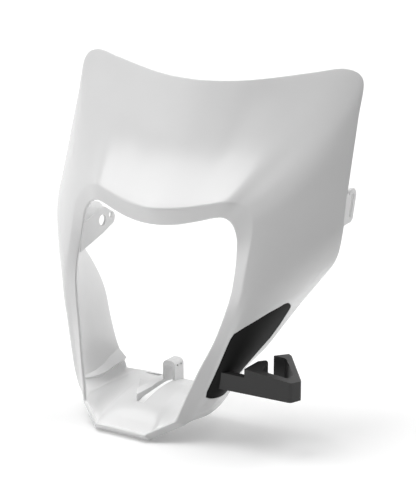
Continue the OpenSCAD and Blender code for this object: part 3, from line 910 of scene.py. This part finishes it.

# %% [markdown]
# The guide is black nylon, one moulding. Its plate is matt and its arm grained,
# which is real. Their colours differ too: the plate's darker colour is painted
# shade and the arm's lighter one is painted light, so the plate looks nearly
# black from all sides and the arm catches more light. Nylon's IOR is about 1.5.
# The plate's is matched lower, because its matt surface mirrors less.

# %% Black nylon, smooth and grained, with painted shade and painted light
# the plate's darker colour is painted shade, and the arm's lighter colour is painted light
smooth_nylon_painted_shade = moulded_plastic("black_nylon_smooth_painted_shade", "#0E0E0E", "#131313", 0.75, 1.3, 0.9, 0.01)
grained_nylon_painted_light = moulded_plastic("black_nylon_grained_painted_light", "#171717", "#1E1E1E", 0.45, 1.5, 0.7, 0.03)
dress(plate, smooth_nylon_painted_shade)
dress(arm, grained_nylon_painted_light)
print("black", smooth_nylon_painted_shade.name, grained_nylon_painted_light.name)

# %% [markdown]
# The screws stay the CAD's own solids, because they only show from inside. Zinc
# plating on steel is a pale, slightly blurred metal.

# %% Zinc-plated screws
zinc, tree = new_material("zinc_plated_steel")
shader = add_node(tree, "ShaderNodeBsdfPrincipled",
                  {"Base Color": linear("#B9BCC0"), "Metallic": 1.0, "Roughness": 0.32})
add_node(tree, "ShaderNodeOutputMaterial", links={"Surface": shader.outputs["BSDF"]})
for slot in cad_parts["guide_screws"].material_slots:
    slot.material = zinc
print("metal", zinc.name)

# %% [markdown]
# ## The studio
# The mask stands on a pale floor in front of white. The white background isn't
# made with more light, which would wash out the white plastic. Instead, nodes
# ask what kind of ray looks: the camera, glossy and transmitted rays see white.

# %% Rays that see the background
def background_rays(tree):
    """1 for rays that show the background: the camera's, glossy and transmitted ones."""
    path = add_node(tree, "ShaderNodeLightPath")
    shown = path.outputs["Is Camera Ray"]
    for kind in ("Is Glossy Ray", "Is Transmission Ray"):
        either = add_node(tree, "ShaderNodeMath", {"operation": "MAXIMUM"},
                          {0: shown, 1: path.outputs[kind]})
        shown = either.outputs[0]
    return shown


WHITE = (1, 1, 1, 1)
BLACK = (0, 0, 0, 1)
print("white for camera, glossy and transmission rays")

# %% [markdown]
# The floor keeps the object's shadow. It is a plain matt surface, plus a little
# glow for those rays, which lifts the lit floor to white.

# %% Floor
FLOOR_REACH = 4
FLOOR_GLOW = 0.22
# a hair under the mask, so that the two don't share a plane
FLOOR_GAP = 0.4 * MM
floor_z = cad_box[0][2] - FLOOR_GAP
corners = [(x * FLOOR_REACH, y * FLOOR_REACH, floor_z)
           for x, y in ((-1, -1), (1, -1), (1, 1), (-1, 1))]
floor_mesh = bpy.data.meshes.new("floor")
floor_mesh.from_pydata(corners, [], [(0, 1, 2, 3)])
floor = bpy.data.objects.new("floor", floor_mesh)
bpy.context.scene.collection.objects.link(floor)
floor_material, tree = new_material("pale_floor")
diffuse = add_node(tree, "ShaderNodeBsdfDiffuse", {"Color": linear("#F4F4F4")})
glow = add_node(tree, "ShaderNodeEmission", {"Color": WHITE, "Strength": FLOOR_GLOW})
nothing = add_node(tree, "ShaderNodeEmission", {"Color": BLACK, "Strength": 0.0})
seen = add_node(tree, "ShaderNodeMixShader",
                links={0: background_rays(tree), 1: nothing.outputs[0], 2: glow.outputs[0]})
both = add_node(tree, "ShaderNodeAddShader", links={0: diffuse.outputs[0], 1: seen.outputs[0]})
add_node(tree, "ShaderNodeOutputMaterial", links={"Surface": both.outputs[0]})
floor.data.materials.append(floor_material)
print("floor at", round(floor_z / MM, 1), "mm")

# %% [markdown]
# The world is white for the same rays and nearly dark for the rest, so that the
# shading comes from the lamps.

# %% World
WORLD_FILL = 0.02
world = bpy.data.worlds.new("studio")
bpy.context.scene.world = world
world.use_nodes = True
tree = world.node_tree
tree.nodes.clear()
fill = add_node(tree, "ShaderNodeBackground", {"Color": WHITE, "Strength": WORLD_FILL})
white = add_node(tree, "ShaderNodeBackground", {"Color": WHITE, "Strength": 1.0})
mix = add_node(tree, "ShaderNodeMixShader",
               links={0: background_rays(tree), 1: fill.outputs[0], 2: white.outputs[0]})
add_node(tree, "ShaderNodeOutputWorld", links={"Surface": mix.outputs[0]})
print("world", world.name)

# %% [markdown]
# Four broad, far lights stand round the mask, the strongest high on the left, so
# that the right side falls off to grey as in the photograph. Sun lamps are used
# because their strength doesn't change with distance. A wide angle makes their
# shadows soft.

# %% Lamps
def soft_sun(name, azimuth, elevation, strength, wide=50):
    """A broad, far light. Azimuth 0 is in front of the mask, 90 on the viewer's right."""
    data = bpy.data.lights.new(name, "SUN")
    data.energy, data.angle = strength, math.radians(wide)
    lamp = bpy.data.objects.new(name, data)
    bpy.context.scene.collection.objects.link(lamp)
    a, e = math.radians(azimuth), math.radians(elevation)
    towards = Vector((math.sin(a) * math.cos(e), -math.cos(a) * math.cos(e), math.sin(e)))
    lamp.rotation_euler = towards.to_track_quat("Z", "Y").to_euler()
    return lamp


# each row: name, azimuth, elevation, strength and, if it isn't 50 degrees, width
LAMPS = (("left_high", 270, 65, 1.48, 40), ("back_high", 180, 70, 1.05),
         ("front_left_low", 315, 22, 0.74), ("back_low", 160, 30, 0.92))
for row in LAMPS:
    lamp = soft_sun(*row)
    print(lamp.name, round(lamp.data.energy, 2))
bpy.context.scene.view_settings.view_transform = "Standard"
